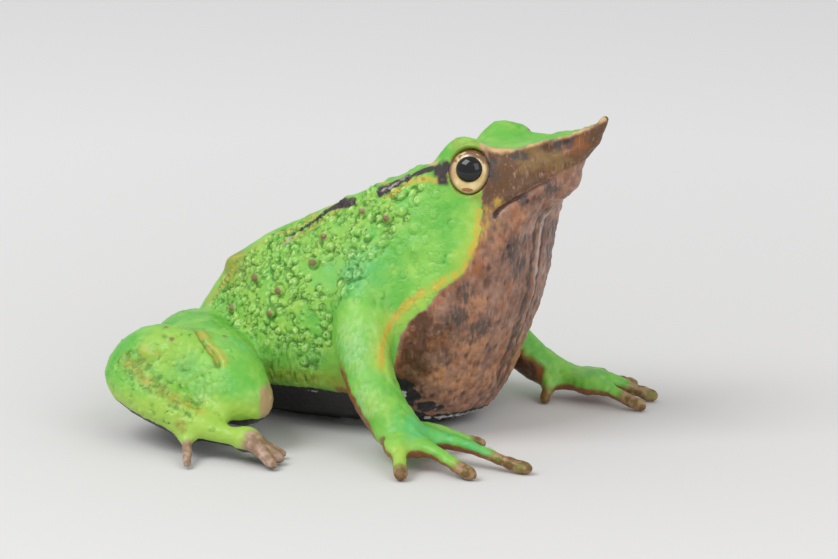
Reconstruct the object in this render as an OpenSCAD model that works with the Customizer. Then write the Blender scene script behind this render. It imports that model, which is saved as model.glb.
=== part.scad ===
// Figurine of a long-nosed frog that sits up on its forelegs, moulded in soft vinyl and
// painted by hand. It comes apart into a back shell with the head, a belly plate, four
// limbs on glued pegs and two eye beads.
// Lengths are in millimetres. +X is the way the frog looks, +Y its left side, +Z is up.
// The figurine stands on the plane z = 0.

/* [Body] */
// Length from the vent to the tip of the snout
body_l = 71; // [64:1:78]
// Width across the flanks
body_w = 38; // [34:1:42]
// Height of the snout tip above the ground
body_h = 49.4; // [44:0.2:56]
// Distance from the vent forward to the middle of the footprint
vent_back = 35.6; // [32:0.1:40]
// Depth of the dip of the back between its two ridges
back_dip = 0.5; // [0.2:0.1:1]

// Width of the groove between the lips
mouth_w = 0.9; // [0.6:0.1:1.2]
// Diameter of a nostril
nostril_d = 0.9; // [0.6:0.1:1.2]
// Diameter of the large warts on the flanks
wart_d = 2; // [1.4:0.1:2.6]

/* [Belly plate] */
// Height of the seam between the green flank and the black belly
seam_h = 7.4; // [6:0.1:9]
// How far the belly plate stands back under the flank
belly_inset = 1.0; // [0.4:0.1:1.6]
// Diameter of the two locating pegs of the belly plate
belly_peg_d = 4; // [3:0.5:6]
// Height of the locating pegs above the seam
belly_peg_h = 3; // [2:0.5:5]
// Distance between the locating pegs
belly_peg_gap = 18; // [12:1:22]

/* [Forelegs] */
// Thickness of the arm at the middle of the forearm
arm_d = 7.6; // [6:0.2:9]
// Thickness of the palm
palm_d = 4.8; // [3.6:0.2:5.6]
// Thickness of a finger
finger_d = 2.7; // [2.2:0.1:3.4]
// Diameter of the glued peg in the shoulder
shoulder_peg_d = 5; // [4:0.5:6]
// Length of the peg inside the body
shoulder_peg_l = 5; // [3:0.5:6]

/* [Hind legs] */
// Thickness of the thigh
thigh_d = 12; // [10:0.5:14]
// Height of the thigh as a part of its width
thigh_flat = 0.86; // [0.7:0.02:1]
// Thickness of the shank
shank_d = 10.4; // [9:0.2:12]
// Thickness of the folded foot
foot_d = 6.4; // [5:0.2:8]
// Thickness of a toe
toe_d = 2.6; // [2.2:0.1:3.4]
// Diameter of the glued peg in the hip
hip_peg_d = 5; // [4:0.5:6]
// Length of the peg inside the body
hip_peg_l = 4; // [3:0.5:6]

/* [Eyes] */
// Diameter of the eye bead
eye_d = 7.6; // [7:0.1:9]
// Distance between the centres of the two beads
eye_gap = 14.6; // [12:0.2:16]
// Diameter of the stem that holds the bead in the head
eye_stem_d = 2.4; // [2:0.2:3]
// Length of the stem below the bead
eye_stem_l = 1.6; // [1:0.2:2]

/* [Fits] */
// Clearance of a glued peg in its socket, on the radius
glue_gap = 0.15; // [0.1:0.05:0.3]

/* [Hidden] */

// Curves of the body. Each row is the share of the length from the vent, then the shares
// of the half width and of the height, or of the height alone on the midline.
keel_shares = [[0, 0.15], [0.03, 0.05], [0.08, -0.005], [0.15, -0.016], [0.5, -0.016],
    [0.61, -0.01], [0.68, 0.022], [0.728, 0.055], [0.757, 0.11], [0.785, 0.24],
    [0.803, 0.31], [0.824, 0.385], [0.839, 0.46], [0.845, 0.54], [0.847, 0.6],
    [0.852, 0.66], [0.88, 0.71], [0.928, 0.77], [0.936, 0.82], [0.944, 0.86],
    [0.972, 0.92], [1, 0.966]];
edge_shares = [[0, 0.1, 0.15], [0.03, 0.17, 0.08], [0.08, 0.34, 0.04], [0.15, 0.5, 0.04],
    [0.27, 0.66, 0.04], [0.38, 0.73, 0.047], [0.5, 0.75, 0.055], [0.61, 0.71, 0.075],
    [0.69, 0.64, 0.12], [0.745, 0.55, 0.215], [0.792, 0.47, 0.335], [0.825, 0.39, 0.46],
    [0.838, 0.29, 0.57], [0.849, 0.22, 0.655], [0.88, 0.17, 0.722], [0.926, 0.11, 0.785],
    [0.95, 0.06, 0.88], [1, 0.03, 0.974]];
flank_shares = [[0, 0.12, 0.16], [0.03, 0.26, 0.155], [0.08, 0.46, 0.165], [0.13, 0.63, 0.185],
    [0.19, 0.76, 0.205], [0.27, 0.885, 0.225], [0.38, 0.96, 0.245], [0.5, 1, 0.265],
    [0.6, 0.97, 0.305], [0.67, 0.91, 0.36], [0.73, 0.82, 0.44], [0.78, 0.71, 0.52],
    [0.82, 0.59, 0.6], [0.85, 0.45, 0.675], [0.875, 0.33, 0.74], [0.9, 0.26, 0.8],
    [0.936, 0.165, 0.865], [0.961, 0.105, 0.915], [1, 0.04, 0.978]];
cheek_shares = [[0, 0.1, 0.17], [0.03, 0.22, 0.215], [0.08, 0.36, 0.27], [0.13, 0.49, 0.32],
    [0.19, 0.595, 0.375], [0.27, 0.695, 0.43], [0.38, 0.77, 0.49], [0.5, 0.78, 0.555],
    [0.6, 0.74, 0.61], [0.67, 0.665, 0.665], [0.73, 0.6, 0.72], [0.78, 0.56, 0.76],
    [0.82, 0.495, 0.79], [0.87, 0.37, 0.84], [0.91, 0.24, 0.88], [0.955, 0.115, 0.94],
    [1, 0.035, 0.995]];
ridge_shares = [[0, 0.06, 0.18], [0.03, 0.13, 0.243], [0.08, 0.23, 0.335], [0.13, 0.305, 0.425],
    [0.19, 0.36, 0.507], [0.27, 0.4, 0.58], [0.38, 0.42, 0.65], [0.5, 0.435, 0.735],
    [0.6, 0.45, 0.79], [0.64, 0.43, 0.826], [0.665, 0.42, 0.872], [0.69, 0.42, 0.917],
    [0.721, 0.43, 0.934], [0.752, 0.425, 0.924], [0.78, 0.405, 0.906], [0.825, 0.37, 0.899],
    [0.862, 0.285, 0.917], [0.88, 0.245, 0.928], [0.915, 0.165, 0.94], [0.965, 0.08, 0.97],
    [1, 0.04, 1]];
crown_shares = [[0, 0.185], [0.03, 0.25], [0.08, 0.345], [0.13, 0.434], [0.19, 0.51],
    [0.27, 0.583], [0.38, 0.655], [0.5, 0.74], [0.6, 0.795], [0.67, 0.845], [0.73, 0.88],
    [0.78, 0.89], [0.83, 0.908], [0.87, 0.93], [0.92, 0.947], [0.965, 0.972], [1, 1]];
// Places on the skin: the share of the length, then how far round from the keel, where 1 is
// the belly edge, 2 the flank, 3 the cheek, 4 the ridge and 6 the crown.
mouth_shares = [[0.808, 2.66], [0.829, 2.74], [0.858, 2.63], [0.883, 2.45], [0.912, 2],
    [0.93, 1.4], [0.937, 0.6], [0.94, 0]];
nostril_shares = [0.918, 3.6];
wart_shares = [[0.505, 3.7], [0.574, 3.45], [0.423, 3.52], [0.413, 3.13], [0.338, 2.88],
    [0.264, 3.15], [0.327, 2.6], [0.648, 2.82]];
// The dip fades out where the ridges run together.
dip_share = 0.12;
// Rings along the body and points between two of its curves.
body_rings = 52;
body_steps = 4;
// The stretches of rings that the belly plate, the arms and the hind legs meet.
belly_rings = 34;
belly_steps = 2;
arm_rings = [23, 35];
leg_rings = 24;

// Seam of the belly plate from the side, as shares of the body length and of the seam height.
seam_shares = [[-0.02, -0.3], [-0.02, 0.6], [0.12, 0.8], [0.42, 1], [0.56, 0.9],
               [0.655, 0.45], [0.715, -0.3]];

// Centre lines of the limbs. Each row is the share of the body length from the vent, of the
// half width and of the height, then the thickness as a share of the limb's own.
right_arm_shares = [[0.54, -0.62, 0.5, 1.45], [0.552, -0.9, 0.395, 1.25],
    [0.577, -1.1, 0.293, 1.12], [0.611, -1.235, 0.211, 1.04], [0.651, -1.315, 0.146, 0.97],
    [0.69, -1.37, 0.101, 0.93], [0.724, -1.41, 0.075, 0.75]];
left_arm_shares = [[0.54, 0.62, 0.5, 1.45], [0.565, 0.85, 0.35, 1.25], [0.622, 0.96, 0.227, 1],
    [0.679, 0.98, 0.162, 0.86], [0.718, 0.98, 0.119, 0.82], [0.758, 0.99, 0.089, 0.76],
    [0.804, 1.01, 0.07, 0.62]];
// Fingers, outermost first: the place of the root and the length and width shares of the tip
// on the ground, then the thickness as a share of a finger's own.
right_finger_shares = [[0.72, -1.62, 0.07, 0.761, -1.9, 1], [0.745, -1.5, 0.07, 0.889, -1.65, 1],
    [0.742, -1.3, 0.07, 0.975, -1.31, 0.95], [0.73, -1.16, 0.076, 0.806, -0.76, 0.85]];
left_finger_shares = [[0.84, 1.15, 0.065, 0.904, 1.51, 0.9], [0.87, 1.03, 0.068, 0.985, 1.2, 1],
    [0.862, 0.91, 0.064, 0.992, 0.86, 1], [0.777, 0.88, 0.06, 0.778, 0.745, 0.8]];
thigh_shares = [[0.1, -0.6, 0.225, 1.0], [0.15, -0.93, 0.228, 1.17], [0.23, -1.2, 0.212, 1.16],
    [0.295, -1.4, 0.192, 1.07], [0.338, -1.52, 0.16, 0.9]];
shank_shares = [[0.295, -1.4, 0.17, 0.8], [0.24, -1.38, 0.215, 1], [0.18, -1.44, 0.238, 1.12],
    [0.125, -1.48, 0.232, 1.14], [0.087, -1.49, 0.208, 1]];
tarsus_shares = [[0.1, -1.6, 0.19, 1.65], [0.18, -1.75, 0.148, 1.42], [0.25, -1.84, 0.11, 1.08],
    [0.318, -1.89, 0.09, 0.74], [0.372, -1.9, 0.075, 0.54], [0.41, -1.9, 0.074, 0.52]];
// Toes in the same shares as the fingers, the short one at the heel first.
toe_shares = [[0.27, -1.96, 0.07, 0.304, -2.17, 0.8], [0.406, -1.92, 0.07, 0.483, -2.03, 1],
    [0.406, -1.88, 0.072, 0.479, -1.87, 1], [0.395, -1.83, 0.064, 0.462, -1.7, 0.9]];
// Swelling of a finger or toe from its root to its round tip.
digit_shares = [1.8, 1.35, 1.02, 0.88, 0.92, 0.82];
// Height of a digit's arch as a share of its length, and of its tip's middle line above the
// sole as a share of its thickness.
arch_share = 0.09;
sole_share = 0.36;
// Height of a digit, and of the palm, as a part of its width.
digit_flat = 0.9;
palm_flat = 0.76;
// Reach of the pegs into the limbs, as shares of the limbs' thickness.
arm_root_share = 0.42;
thigh_root_share = 0.33;

// Places of the pegs and beads, in the same shares of length, half width and height.
shoulder_share = [0.55, 0.85, 0.38];
hip_share = [0.16, 0.7, 0.21];
eye_share = [0.742, 0.824];
seam_peg_share = 0.34;
// Turn of the eyes to the front and their tilt upwards, in degrees.
eye_turn = 8;
eye_lift = 15;

half_w = body_w / 2;
overrun = 10;
limb_sides = 12;
digit_sides = 8;
limb_steps = 10;
digit_steps = 7;
palm_steps = 2;

function at(share) = [share[0] * body_l - vent_back, share[1] * half_w, share[2] * body_h];

// Value of a table of [share, value...] rows at t, smooth and without overshoot.
function row_at(rows, t, i = 0) =
    i >= len(rows) - 2 || t < rows[i + 1][0] ? i : row_at(rows, t, i + 1);
function rise(rows, i, k) = (rows[i + 1][k] - rows[i][k]) / (rows[i + 1][0] - rows[i][0]);
function slope(rows, i, k) =
    i == 0 ? rise(rows, 0, k)
    : i == len(rows) - 1 ? rise(rows, i - 1, k)
    : let(a = rise(rows, i - 1, k), b = rise(rows, i, k)) a * b > 0 ? 2 * a * b / (a + b) : 0;
function smooth_at(rows, t, k = 1) =
    let(i = row_at(rows, t), h = rows[i + 1][0] - rows[i][0], s = (t - rows[i][0]) / h)
    (2 * s * s * s - 3 * s * s + 1) * rows[i][k] + (s * s * s - 2 * s * s + s) * h * slope(rows, i, k)
    + (3 * s * s - 2 * s * s * s) * rows[i + 1][k] + (s * s * s - s * s) * h * slope(rows, i + 1, k);

// Point on a smooth curve through evenly counted points, at t from 0 to 1.
function through(points, t) =
    let(n = len(points) - 1, i = min(floor(t * n), n - 1), s = t * n - i,
        p = points[i], q = points[i + 1],
        a = i > 0 ? (q - points[i - 1]) / 2 : q - p,
        b = i < n - 1 ? (points[i + 2] - p) / 2 : q - p)
    (2 * s * s * s - 3 * s * s + 1) * p + (s * s * s - 2 * s * s + s) * a
    + (3 * s * s - 2 * s * s * s) * q + (s * s * s - s * s) * b;
function looped(points, i, s) =
    let(n = len(points), p = points[i], q = points[(i + 1) % n],
        a = (q - points[(i + n - 1) % n]) / 2, b = (points[(i + 2) % n] - p) / 2)
    (2 * s * s * s - 3 * s * s + 1) * p + (s * s * s - 2 * s * s + s) * a
    + (3 * s * s - 2 * s * s * s) * q + (s * s * s - s * s) * b;

// Skin over a stack of rings that all have the same number of points.
module skin(rings) {
    n = len(rings[0]);
    m = len(rings);
    points = [for (ring = rings) each ring];
    sides = [for (j = [0:m - 2], i = [0:n - 1]) let(a = j * n + i, b = j * n + (i + 1) % n)
        each [[a, b, b + n], [a, b + n, a + n]]];
    polyhedron(concat(points, [centre_of(rings[0]), centre_of(rings[m - 1])]),
        concat(sides,
            [for (i = [0:n - 1]) [m * n, (i + 1) % n, i]],
            [for (i = [0:n - 1]) [m * n + 1, (m - 1) * n + i, (m - 1) * n + (i + 1) % n]]));
}
function centre_of(points) = [for (k = [0:2]) sum_of([for (p = points) p[k]]) / len(points)];
function sum_of(list, i = 0) = i < len(list) ? list[i] + sum_of(list, i + 1) : 0;

// Cross-section of the body at share t: keel, belly edge, flank, cheek, ridge and crown.
function body_outline(t, inset) =
    let(keel = [0, smooth_at(keel_shares, t) * body_h],
        edge = [smooth_at(edge_shares, t) * half_w - inset, smooth_at(edge_shares, t, 2) * body_h],
        flank = [smooth_at(flank_shares, t) * half_w - inset, smooth_at(flank_shares, t, 2) * body_h],
        cheek = [smooth_at(cheek_shares, t) * half_w - inset, smooth_at(cheek_shares, t, 2) * body_h],
        ridge = [smooth_at(ridge_shares, t) * half_w, smooth_at(ridge_shares, t, 2) * body_h],
        crown = [0, smooth_at(crown_shares, t) * body_h],
        valley = (ridge + crown) / 2 - [0, min(back_dip, ridge[0] * dip_share)],
        half = [edge, flank, cheek, ridge, valley])
    concat([keel], half, [crown], [for (i = [4:-1:0]) [-half[i][0], half[i][1]]]);
function body_ring(t, inset, steps) =
    let(outline = body_outline(t, inset))
    [for (i = [0:len(outline) - 1], j = [0:steps - 1])
        let(p = looped(outline, i, j / steps)) [t * body_l - vent_back, -p[0], p[1]]];
function on_skin(place, side) =
    let(p = looped(body_outline(place[0], 0), floor(place[1]), place[1] - floor(place[1])))
    [place[0] * body_l - vent_back, side * p[0], p[1]];

module body_form(inset = 0, first = 0, last = body_rings, steps = body_steps) {
    rings = [for (i = [first:last]) body_ring((1 - cos(180 * i / body_rings)) / 2, inset, steps)];
    tail = first == 0 ? [for (a = [70, 35]) end_ring(rings[0], -1, a)] : [];
    tip = last == body_rings ? [for (a = [35, 70]) end_ring(rings[len(rings) - 1], 1, a)] : [];
    skin(concat(tail, rings, tip));
}

// Shrunken copy of an end ring, so that the snout and the rump end round.
function end_ring(ring, way, a) =
    let(c = centre_of(ring), r = (ring[0][2] - c[2]) / 2)
    [for (p = ring) c + (p - c) * cos(a) + [way * abs(r) * sin(a), 0, 0]];

// Round bar along a smooth line. Each row of points is a place and a thickness.
module limb(points, flat = 1, sides = limb_sides, steps = limb_steps) {
    places = [for (i = [0:steps]) through([for (p = points) [p[0], p[1], p[2]]], i / steps)];
    widths = [for (i = [0:steps]) through([for (p = points) p[3]], i / steps)];
    first = places[1] - places[0];
    last = places[steps] - places[steps - 1];
    skin(concat(
        [for (a = [80, 40]) bar_ring(places[0] - unit(first) * sin(a) * widths[0] / 2, first,
            widths[0] / 2 * cos(a), flat, sides)],
        [for (i = [0:steps]) bar_ring(places[i],
            places[min(i + 1, steps)] - places[max(i - 1, 0)], widths[i] / 2, flat, sides)],
        [for (a = [40, 80]) bar_ring(places[steps] + unit(last) * sin(a) * widths[steps] / 2, last,
            widths[steps] / 2 * cos(a), flat, sides)]));
}
function unit(v) = v / norm(v);
function bar_ring(centre, along, radius, flat, sides) =
    let(t = unit(along), side = unit(cross([0, 0, 1], t)), up = cross(t, side))
    [for (i = [0:sides - 1]) let(a = -360 * i / sides)
        centre + side * radius * cos(a) + up * radius * flat * sin(a)];

function limb_rows(shares, width) = [for (s = shares) concat(at(s), s[3] * width)];

// Finger or toe from its root to its tip on the ground, with a low arch between.
module digit(shares, full_width) {
    width = full_width * shares[5];
    root = at(shares);
    tip = [shares[3] * body_l - vent_back, shares[4] * half_w, width * sole_share];
    run = norm(tip - root);
    rise_h = run * arch_share;
    n = len(digit_shares) - 1;
    limb([for (i = [0:n]) let(s = i / n)
        concat(root + (tip - root) * s + [0, 0, rise_h * 4 * s * (1 - s) * (1 - s)],
            digit_shares[i] * width)], digit_flat, digit_sides, digit_steps);
}

// Everything below the ground is cut away, so that soles and belly rest flat.
module grounded() {
    difference() {
        children();
        translate([-body_l, -2 * body_w, -2 * overrun])
            cube([2 * body_l, 4 * body_w, 2 * overrun]);
    }
}

module seam_block() {
    rotate([90, 0, 0])
        linear_extrude(body_w, center = true)
            polygon([for (s = seam_shares) [s[0] * body_l - vent_back, s[1] * seam_h]]);
}

// Peg with its root at a share of the body, pointing into the body along -Y of its side.
module side_peg(share, side, d, l, out) {
    place = at([share[0], side * share[1], share[2]]);
    translate(place)
        rotate([side * 90, 0, 0])
            translate([0, 0, -out])
                cylinder(h = l + out, d = d, $fn = 32);
}

module belly_pegs(gap, top) {
    for (way = [-1, 1])
        translate([seam_peg_share * body_l - vent_back + way * belly_peg_gap / 2, 0, seam_h / 2])
            cylinder(h = seam_h / 2 + belly_peg_h + top, d = belly_peg_d + 2 * gap, $fn = 32);
}

module eye_place(side) {
    translate([eye_share[0] * body_l - vent_back, side * eye_gap / 2, eye_share[1] * body_h])
        rotate([0, 0, -side * eye_turn])
            rotate([-side * (90 - eye_lift), 0, 0])
                children();
}

module warts(side) {
    for (place = wart_shares)
        translate(on_skin(place, side))
            sphere(d = wart_d, $fn = 24);
}

module mouth_groove(side) {
    limb([for (place = mouth_shares) concat(on_skin(place, side), mouth_w)], 1, 6);
}

module back_shell() {
    color("limegreen")
        difference() {
            union() {
                grounded() body_form();
                warts(-1);
                warts(1);
            }
            seam_block();
            belly_pegs(glue_gap, glue_gap);
            for (side = [-1, 1]) {
                side_peg(shoulder_share, side, shoulder_peg_d + 2 * glue_gap,
                    shoulder_peg_l + glue_gap, overrun);
                side_peg(hip_share, side, hip_peg_d + 2 * glue_gap, hip_peg_l + glue_gap, overrun);
                mouth_groove(side);
                translate(on_skin(nostril_shares, side))
                    sphere(d = nostril_d, $fn = 24);
                eye_place(side) {
                    sphere(d = eye_d + 2 * glue_gap, $fn = 48);
                    translate([0, 0, -eye_d / 2 - eye_stem_l - glue_gap])
                        cylinder(h = eye_d / 2, d = eye_stem_d + 2 * glue_gap, $fn = 24);
                }
            }
        }
}

module belly_plate() {
    color("black")
        union() {
            intersection() {
                grounded() body_form(belly_inset, last = belly_rings, steps = belly_steps);
                seam_block();
            }
            belly_pegs(0, 0);
        }
}

module right_foreleg() {
    foreleg(-1, right_arm_shares, right_finger_shares);
}

module left_foreleg() {
    foreleg(1, left_arm_shares, left_finger_shares);
}

// The palm is a fan of flat bars from the wrist to the roots of the fingers.
module foreleg(side, arm_shares, finger_shares) {
    arm = limb_rows(arm_shares, arm_d);
    color("limegreen")
        union() {
            difference() {
                grounded() union() {
                    limb(arm);
                    for (s = finger_shares) {
                        limb([arm[len(arm) - 1], concat(at(s), palm_d * s[5])], palm_flat,
                            steps = palm_steps);
                        digit(s, finger_d);
                    }
                }
                body_form(first = arm_rings[0], last = arm_rings[1]);
            }
            side_peg(shoulder_share, side, shoulder_peg_d, shoulder_peg_l, arm_d * arm_root_share);
        }
}

module right_hind_leg() {
    hind_leg(-1);
}

module left_hind_leg() {
    hind_leg(1);
}

module hind_leg(side) {
    color("limegreen")
        union() {
            difference() {
                grounded() mirror([0, side > 0 ? 1 : 0, 0]) union() {
                    limb(limb_rows(thigh_shares, thigh_d), thigh_flat);
                    limb(limb_rows(shank_shares, shank_d));
                    limb(limb_rows(tarsus_shares, foot_d), digit_flat);
                    for (s = toe_shares)
                        digit(s, toe_d);
                }
                body_form(last = leg_rings);
            }
            side_peg(hip_share, side, hip_peg_d, hip_peg_l, thigh_d * thigh_root_share);
        }
}

module eye_bead(side) {
    color("black")
        eye_place(side) {
            sphere(d = eye_d, $fn = 48);
            translate([0, 0, -eye_d / 2 - eye_stem_l])
                cylinder(h = eye_d / 2 + eye_stem_l, d = eye_stem_d, $fn = 24);
        }
}

module right_eye() {
    eye_bead(-1);
}

module left_eye() {
    eye_bead(1);
}

back_shell();
belly_plate();
right_foreleg();
left_foreleg();
right_hind_leg();
left_hind_leg();
right_eye();
left_eye();
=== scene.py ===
import math

import bmesh
import bpy
import numpy as np
from mathutils import Matrix, Vector, kdtree, noise
from mathutils.bvhtree import BVHTree


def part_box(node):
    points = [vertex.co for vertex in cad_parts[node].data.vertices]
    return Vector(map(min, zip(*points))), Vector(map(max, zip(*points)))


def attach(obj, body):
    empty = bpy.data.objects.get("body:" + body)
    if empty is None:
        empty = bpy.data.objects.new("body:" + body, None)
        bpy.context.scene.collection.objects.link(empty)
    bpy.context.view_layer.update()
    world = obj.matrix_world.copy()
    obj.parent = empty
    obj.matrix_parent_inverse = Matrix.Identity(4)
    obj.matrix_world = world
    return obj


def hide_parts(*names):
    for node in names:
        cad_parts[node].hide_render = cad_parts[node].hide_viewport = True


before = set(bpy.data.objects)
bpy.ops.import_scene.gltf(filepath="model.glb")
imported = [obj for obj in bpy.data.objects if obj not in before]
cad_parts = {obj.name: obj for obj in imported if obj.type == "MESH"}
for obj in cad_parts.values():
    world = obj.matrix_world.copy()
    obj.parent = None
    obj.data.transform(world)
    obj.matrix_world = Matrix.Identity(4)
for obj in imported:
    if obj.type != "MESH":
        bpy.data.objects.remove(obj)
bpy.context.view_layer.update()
MM = 0.001
scene = bpy.context.scene
scene.view_settings.view_transform = "Standard"

# Camera. The figurine was photographed from its right front, 25 degrees round from a plain side view and
# 13 degrees above the table, with a long lens about 0.7 m away, so its sides hardly converge.
AIM = Vector((4.6, 0, 21.5)) * MM
AROUND, ABOVE, AWAY = math.radians(25), math.radians(13), 700 * MM
FOCAL_LENGTH = 195.5  # millimetres, as a lens is marked, on the usual 36 mm sensor

camera = bpy.data.objects.new("camera", bpy.data.cameras.new("camera"))
scene.collection.objects.link(camera)
scene.camera = camera
camera.data.lens = FOCAL_LENGTH
backwards = Vector((math.sin(AROUND) * math.cos(ABOVE), -math.cos(AROUND) * math.cos(ABOVE), math.sin(ABOVE)))
camera.location = AIM + AWAY * backwards
camera.rotation_euler = backwards.to_track_quat("Z", "Y").to_euler()
camera.data.clip_start, camera.data.clip_end = 10 * MM, 20

# The sculpt. A figurine like this is sculpted whole, and only then cut into the pieces that are moulded
# one by one, so its skin and its paint run on across every glued joint. The frame's pieces are fused into
# one skin here, their joints are smoothed over, and the skin gets points fine enough to carve.
MOULDINGS = ["back_shell", "belly_plate", "right_foreleg", "left_foreleg", "right_hind_leg", "left_hind_leg"]
EYES = ["right_eye", "left_eye"]
CLAY_GRAIN = 0.58 * MM  # between the points of the fused skin, before its one subdivision
FAR = 20 * MM  # no distance is looked for beyond this
PALMS = [((16.6, -27.4, 4.0), 5.5), ((23.0, 19.0, 3.6), 5.0)]  # the middle of each and its reach, in mm


def merged_copy(node):
    """A copy of a frame node's mesh with its loose triangles joined up."""
    shape = bmesh.new()
    shape.from_mesh(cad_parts[node].data)
    bmesh.ops.remove_doubles(shape, verts=shape.verts, dist=0.001 * MM)
    return shape


def with_modifier(mesh, kind, **settings):
    """A new mesh, which is this one with one modifier applied."""
    carrier = bpy.data.objects.new("carrier", mesh)
    scene.collection.objects.link(carrier)
    modifier = carrier.modifiers.new(kind, kind)
    for key, value in settings.items():
        setattr(modifier, key, value)
    made = bpy.data.meshes.new_from_object(carrier.evaluated_get(bpy.context.evaluated_depsgraph_get()))
    bpy.data.objects.remove(carrier)
    return made


def largest_shell(shape):
    """Deletes every loose part of a bmesh but its largest, such as the hollows left round a glued peg."""
    unseen, largest = set(shape.verts), set()
    while unseen:
        shell, edge = set(), {unseen.pop()}
        while edge:
            shell |= edge
            edge = {e.other_vert(v) for v in edge for e in v.link_edges} - shell
        unseen -= shell
        largest = max(largest, shell, key=len)
    bmesh.ops.delete(shape, geom=[v for v in shape.verts if v not in largest], context="VERTS")


def nearness(points):
    """The distance in mm of each point from each moulding, one column per moulding, at most FAR."""
    found = [[tree.find_nearest(point, FAR)[3] for tree in trees] for point in points]
    return np.array([[FAR if d is None else d for d in row] for row in found]) / MM


trees = []
fused = bpy.data.meshes.new("fused")
together = bmesh.new()
for node in MOULDINGS + EYES:
    shape = merged_copy(node)
    shape.to_mesh(fused)
    together.from_mesh(fused)
    if node in MOULDINGS:
        trees.append(BVHTree.FromBMesh(shape))
    shape.free()
together.to_mesh(fused)
together.free()

clay = bmesh.new()
clay.from_mesh(with_modifier(fused, "REMESH", mode="VOXEL", voxel_size=CLAY_GRAIN, adaptivity=0))
largest_shell(clay)
clay.verts.ensure_lookup_table()
at = np.array([v.co[:] for v in clay.verts]) / MM
shell_gap, belly_gap, *limb_gaps = nearness([v.co for v in clay.verts]).T
arm_gap, leg_gap = np.minimum(*limb_gaps[:2]), np.minimum(*limb_gaps[2:])
in_palm = np.min([np.linalg.norm(at - palm, axis=1) - reach for palm, reach in PALMS], axis=0) < 0
SMOOTHED = [  # the points of one place, and how many times they are smoothed
    (np.maximum(shell_gap, arm_gap) < 3.0, 22),  # shoulders
    (np.maximum(shell_gap, leg_gap) < 1.4, 5),  # hips
    (np.maximum(shell_gap, belly_gap) < 1.2, 4),  # edge of the belly plate
    (in_palm & (at[:, 2] > 1), 10),  # palms
    ((leg_gap < 0.8) & (shell_gap > 1.5) & (at[:, 0] < -8) & (at[:, 2] > 3), 24),  # folded hind legs
    (at[:, 2] > -1, 3),  # everything
]
for chosen, passes in SMOOTHED:
    verts = [clay.verts[i] for i in np.flatnonzero(chosen)]
    for _ in range(passes):
        bmesh.ops.smooth_vert(
            clay, verts=verts, factor=0.5, use_axis_x=True, use_axis_y=True, use_axis_z=True)
clay.to_mesh(fused)
clay.free()
skin = with_modifier(fused, "SUBSURF", levels=1, render_levels=1)

# Carving works in millimetres, on arrays with one row per point of the skin. Both sides are carved alike,
# so most tools look at a point's mirrored place, whose y is its distance from the middle plane.
count = len(skin.vertices)


def read_points(what):
    """An attribute of all the points of the skin, such as their place or normal, as rows of three numbers."""
    values = np.empty(count * 3, np.float32)
    skin.vertices.foreach_get(what, values)
    return values.reshape(-1, 3).astype(float)


place = read_points("co") / MM
outward = read_points("normal")
gaps = nearness([v.co for v in skin.vertices])
side = np.where(place[:, 1] < 0, -1.0, 1.0)
fold = np.stack([np.ones(count), side, np.ones(count)], axis=1)
mirrored, facing = place * fold, outward * fold
x, y, z = mirrored.T
carved = np.zeros(count)

# Eye sockets and lids, moulded in soft vinyl in one with the back shell. The bead of each eye is glued in a
# round socket that opens outwards, a little forwards and up, under a thick round brow. The rim below the
# bead is thin and flush with the cheek.
EYE_TURN, EYE_LIFT = math.radians(8), math.radians(15)
IRIS_HALF_WIDTH, IRIS_HALF_HEIGHT = 2.95, 3.42
SOCKET_FLOOR = 0.6
RIM_HEIGHT, LID_HEIGHT, LID_CREASE = 0.12, 0.4, 0.1


def rise(low, high, value):
    """0 below low, 1 above high, and smooth between them."""
    t = np.clip((value - low) / (high - low), 0, 1)
    return t * t * (3 - 2 * t)


def bell(distance, width):
    """1 at distance 0, falling away smoothly on both sides."""
    return np.exp(-(distance / width) ** 2)


low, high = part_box("left_eye")
bead_radius = (high.x - low.x) / 2 / MM
eye_centre = np.array([(low.x + high.x) / 2, high.y - (high.x - low.x) / 2, (low.z + high.z) / 2]) / MM
eye_axis = np.array([
    math.sin(EYE_TURN) * math.cos(EYE_LIFT), math.cos(EYE_TURN) * math.cos(EYE_LIFT), math.sin(EYE_LIFT)
])
eye_across = np.cross([0, 0, 1], eye_axis)
eye_across /= np.linalg.norm(eye_across)
eye_up = np.cross(eye_axis, eye_across)
from_eye = mirrored - eye_centre
depth = from_eye @ eye_axis
ring = np.hypot(from_eye @ eye_across / IRIS_HALF_WIDTH, from_eye @ eye_up / IRIS_HALF_HEIGHT)
at_eye = rise(-0.5, 0.5, depth) * (1 - rise(3, 4, np.linalg.norm(from_eye, axis=1) - bead_radius))
pit = at_eye * (1 - rise(0.95, 1.06, ring))
shift = (pit * (SOCKET_FLOOR - depth))[:, None] * eye_axis * fold
above_eye = rise(0.1, 0.8, (from_eye @ eye_up) / np.maximum(np.linalg.norm(from_eye, axis=1), 1))
carved += at_eye * (1 - pit) * (RIM_HEIGHT + LID_HEIGHT * above_eye) * bell(ring - 1.16, 0.12)
carved -= at_eye * (1 - pit) * LID_CREASE * above_eye * bell(ring - 1.5, 0.14)

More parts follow.
